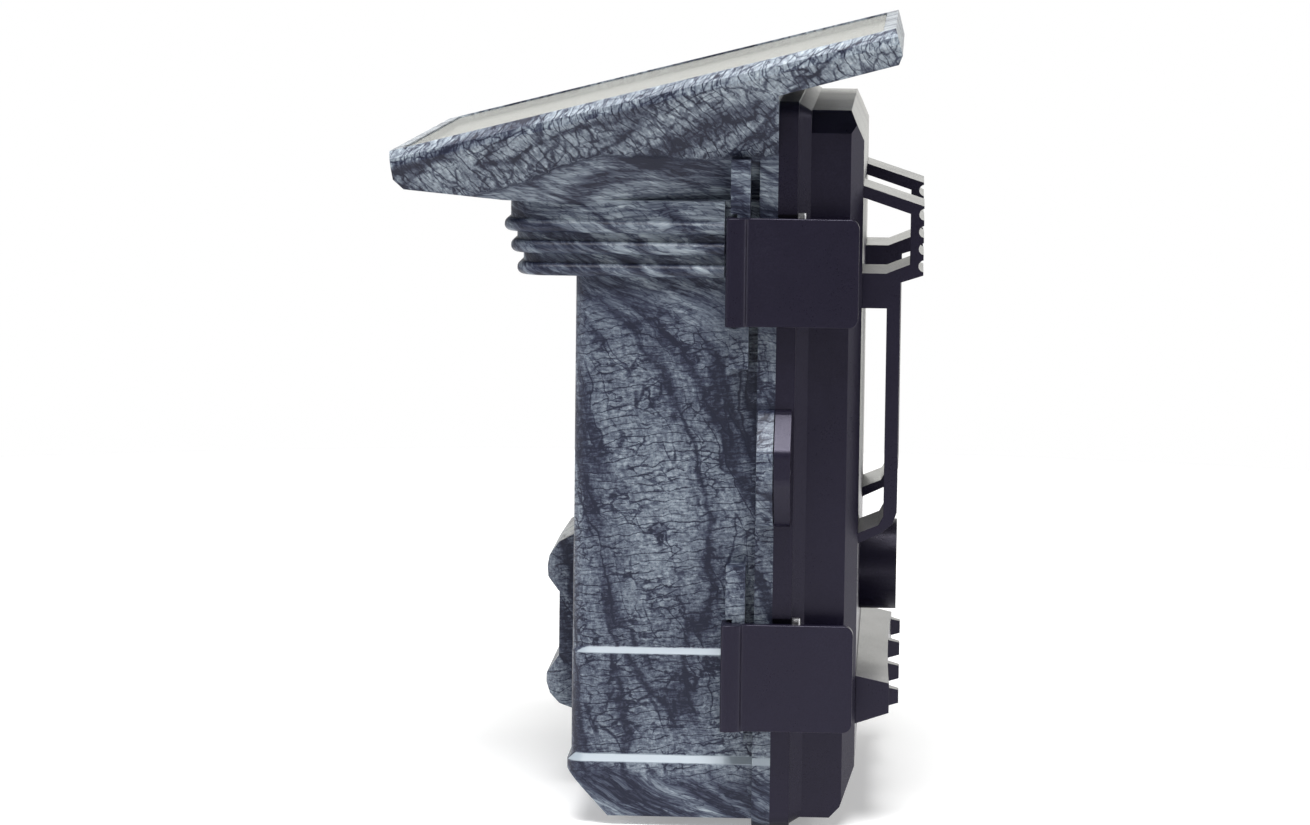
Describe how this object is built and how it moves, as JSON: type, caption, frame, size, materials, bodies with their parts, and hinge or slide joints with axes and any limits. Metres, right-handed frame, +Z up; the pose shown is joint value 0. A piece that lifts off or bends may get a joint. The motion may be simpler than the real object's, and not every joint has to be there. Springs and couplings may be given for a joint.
{
  "type": "trail camera",
  "caption": "Trail camera with a bark-pattern front case, a tilted solar head, a hinged black rear shell with side latches and a toothed tree bracket.",
  "frame": {"origin": "mouth of the bottom tripod socket, on the ground plane", "axes": "+Z up, the lens looks along -Y, +X is the latch side"},
  "size_m": [0.122, 0.1012, 0.1544],
  "materials": {
    "camo_plastic": "printed bark camouflage, satin",
    "black_plastic": "moulded, satin",
    "solar_cells": "laminated cells",
    "clear_cover": "clear, polished",
    "battery_wrap": "printed sleeve, plain",
    "circuit_board": "solder mask",
    "seal_rubber": "matt",
    "steel": "bright",
    "brass": "turned",
    "dark_window": "infrared filter, polished",
    "clear_glass": "coated lens",
    "filter_glass": "coated",
    "lamp_epoxy": "clear epoxy",
    "sensor_lens_plastic": "milky film",
    "panel_plastic": "moulded, fine texture",
    "screen_face": "screen glass",
    "key_rubber": "soft touch",
    "card_plastic": "plain card"
  },
  "bodies": {
    "rear_case": {"rear_shell": "black_plastic", "seal": "seal_rubber", "bracket_ladder_right": "black_plastic", "bracket_ladder_left": "black_plastic", "bracket_foot_bar": "black_plastic", "bracket_screws": "steel", "latch_pins": "steel", "hinge_pins": "steel", "tripod_insert_rear": "brass"},
    "front_case_body": {"front_case": "camo_plastic", "motion_sensor_bezel": "camo_plastic", "solar_panel": "solar_cells", "solar_cover": "clear_cover", "lithium_pack": "battery_wrap", "charging_board": "circuit_board", "tripod_insert_bottom": "brass", "lamp_window": "dark_window", "lens_barrel": "black_plastic", "lens_cover": "clear_glass", "lens_glass": "clear_glass", "lens_mount": "black_plastic", "sensor_board": "circuit_board", "lamp_board": "circuit_board", "infrared_lamps": "lamp_epoxy", "motion_sensor_lens": "sensor_lens_plastic", "motion_sensor_can": "steel", "motion_board": "circuit_board", "inner_panel": "panel_plastic", "main_board": "circuit_board", "screen": "screen_face", "screen_window": "clear_cover", "mode_switch_body": "steel", "card_socket": "steel", "battery_tray": "panel_plastic", "battery_cells": "battery_wrap", "battery_contacts": "steel", "speaker": "black_plastic", "panel_screws": "steel", "port_block": "steel"},
    "latch_lower_body": {"latch_lower": "black_plastic"},
    "latch_upper_body": {"latch_upper": "black_plastic"},
    "mode_switch_knob": {"mode_switch": "key_rubber"},
    "memory_card_body": {"memory_card": "card_plastic"},
    "battery_cover_body": {"battery_cover": "panel_plastic"},
    "port_plug_body": {"port_plug": "seal_rubber"},
    "filter_body": {"filter_slide": "black_plastic", "filter_glass": "filter_glass"},
    "key_menu_body": {"key_menu": "key_rubber"},
    "key_up_body": {"key_up": "key_rubber"},
    "key_ok_body": {"key_ok": "key_rubber"},
    "key_down_body": {"key_down": "key_rubber"},
    "key_shot_body": {"key_shot": "key_rubber"}
  },
  "joints": [
    {"name": "case_hinge", "type": "hinge", "parent": "rear_case", "child": "front_case_body", "pos_m": [-0.0558, 0.02, 0.07], "axis": [0, 0, -1], "range_deg": [0, 105]},
    {"name": "latch_lower_pivot", "type": "hinge", "parent": "rear_case", "child": "latch_lower_body", "pos_m": [0.053, 0.0246, 0.0301], "axis": [0, 0, 1], "range_deg": [0, 25]},
    {"name": "latch_upper_pivot", "type": "hinge", "parent": "rear_case", "child": "latch_upper_body", "pos_m": [0.053, 0.0246, 0.1078], "axis": [0, 0, 1], "range_deg": [0, 25]},
    {"name": "key_menu_press", "type": "slide", "parent": "front_case_body", "child": "key_menu_body", "axis": [0, -1, 0], "range_m": [0, 0.0006], "stiffness_N_per_m": 250, "springref_m": -0.0008},
    {"name": "key_up_press", "type": "slide", "parent": "front_case_body", "child": "key_up_body", "axis": [0, -1, 0], "range_m": [0, 0.0006], "stiffness_N_per_m": 250, "springref_m": -0.0008},
    {"name": "key_ok_press", "type": "slide", "parent": "front_case_body", "child": "key_ok_body", "axis": [0, -1, 0], "range_m": [0, 0.0006], "stiffness_N_per_m": 250, "springref_m": -0.0008},
    {"name": "key_down_press", "type": "slide", "parent": "front_case_body", "child": "key_down_body", "axis": [0, -1, 0], "range_m": [0, 0.0006], "stiffness_N_per_m": 250, "springref_m": -0.0008},
    {"name": "key_shot_press", "type": "slide", "parent": "front_case_body", "child": "key_shot_body", "axis": [0, -1, 0], "range_m": [0, 0.0006], "stiffness_N_per_m": 250, "springref_m": -0.0008},
    {"name": "mode_switch_slide", "type": "slide", "parent": "front_case_body", "child": "mode_switch_knob", "axis": [0, 0, 1], "range_m": [-0.004, 0.004]},
    {"name": "memory_card_slide", "type": "slide", "parent": "front_case_body", "child": "memory_card_body", "axis": [0, 1, 0], "range_m": [0, 0.012]},
    {"name": "battery_cover_lift", "type": "slide", "parent": "front_case_body", "child": "battery_cover_body", "axis": [0, 1, 0], "range_m": [0, 0.01]},
    {"name": "port_plug_pull", "type": "slide", "parent": "front_case_body", "child": "port_plug_body", "axis": [-1, 0, 0], "range_m": [0, 0.008]},
    {"name": "filter_slide_shift", "type": "slide", "parent": "front_case_body", "child": "filter_body", "axis": [1, 0, 0], "range_m": [0, 0.0064]}
  ]
}
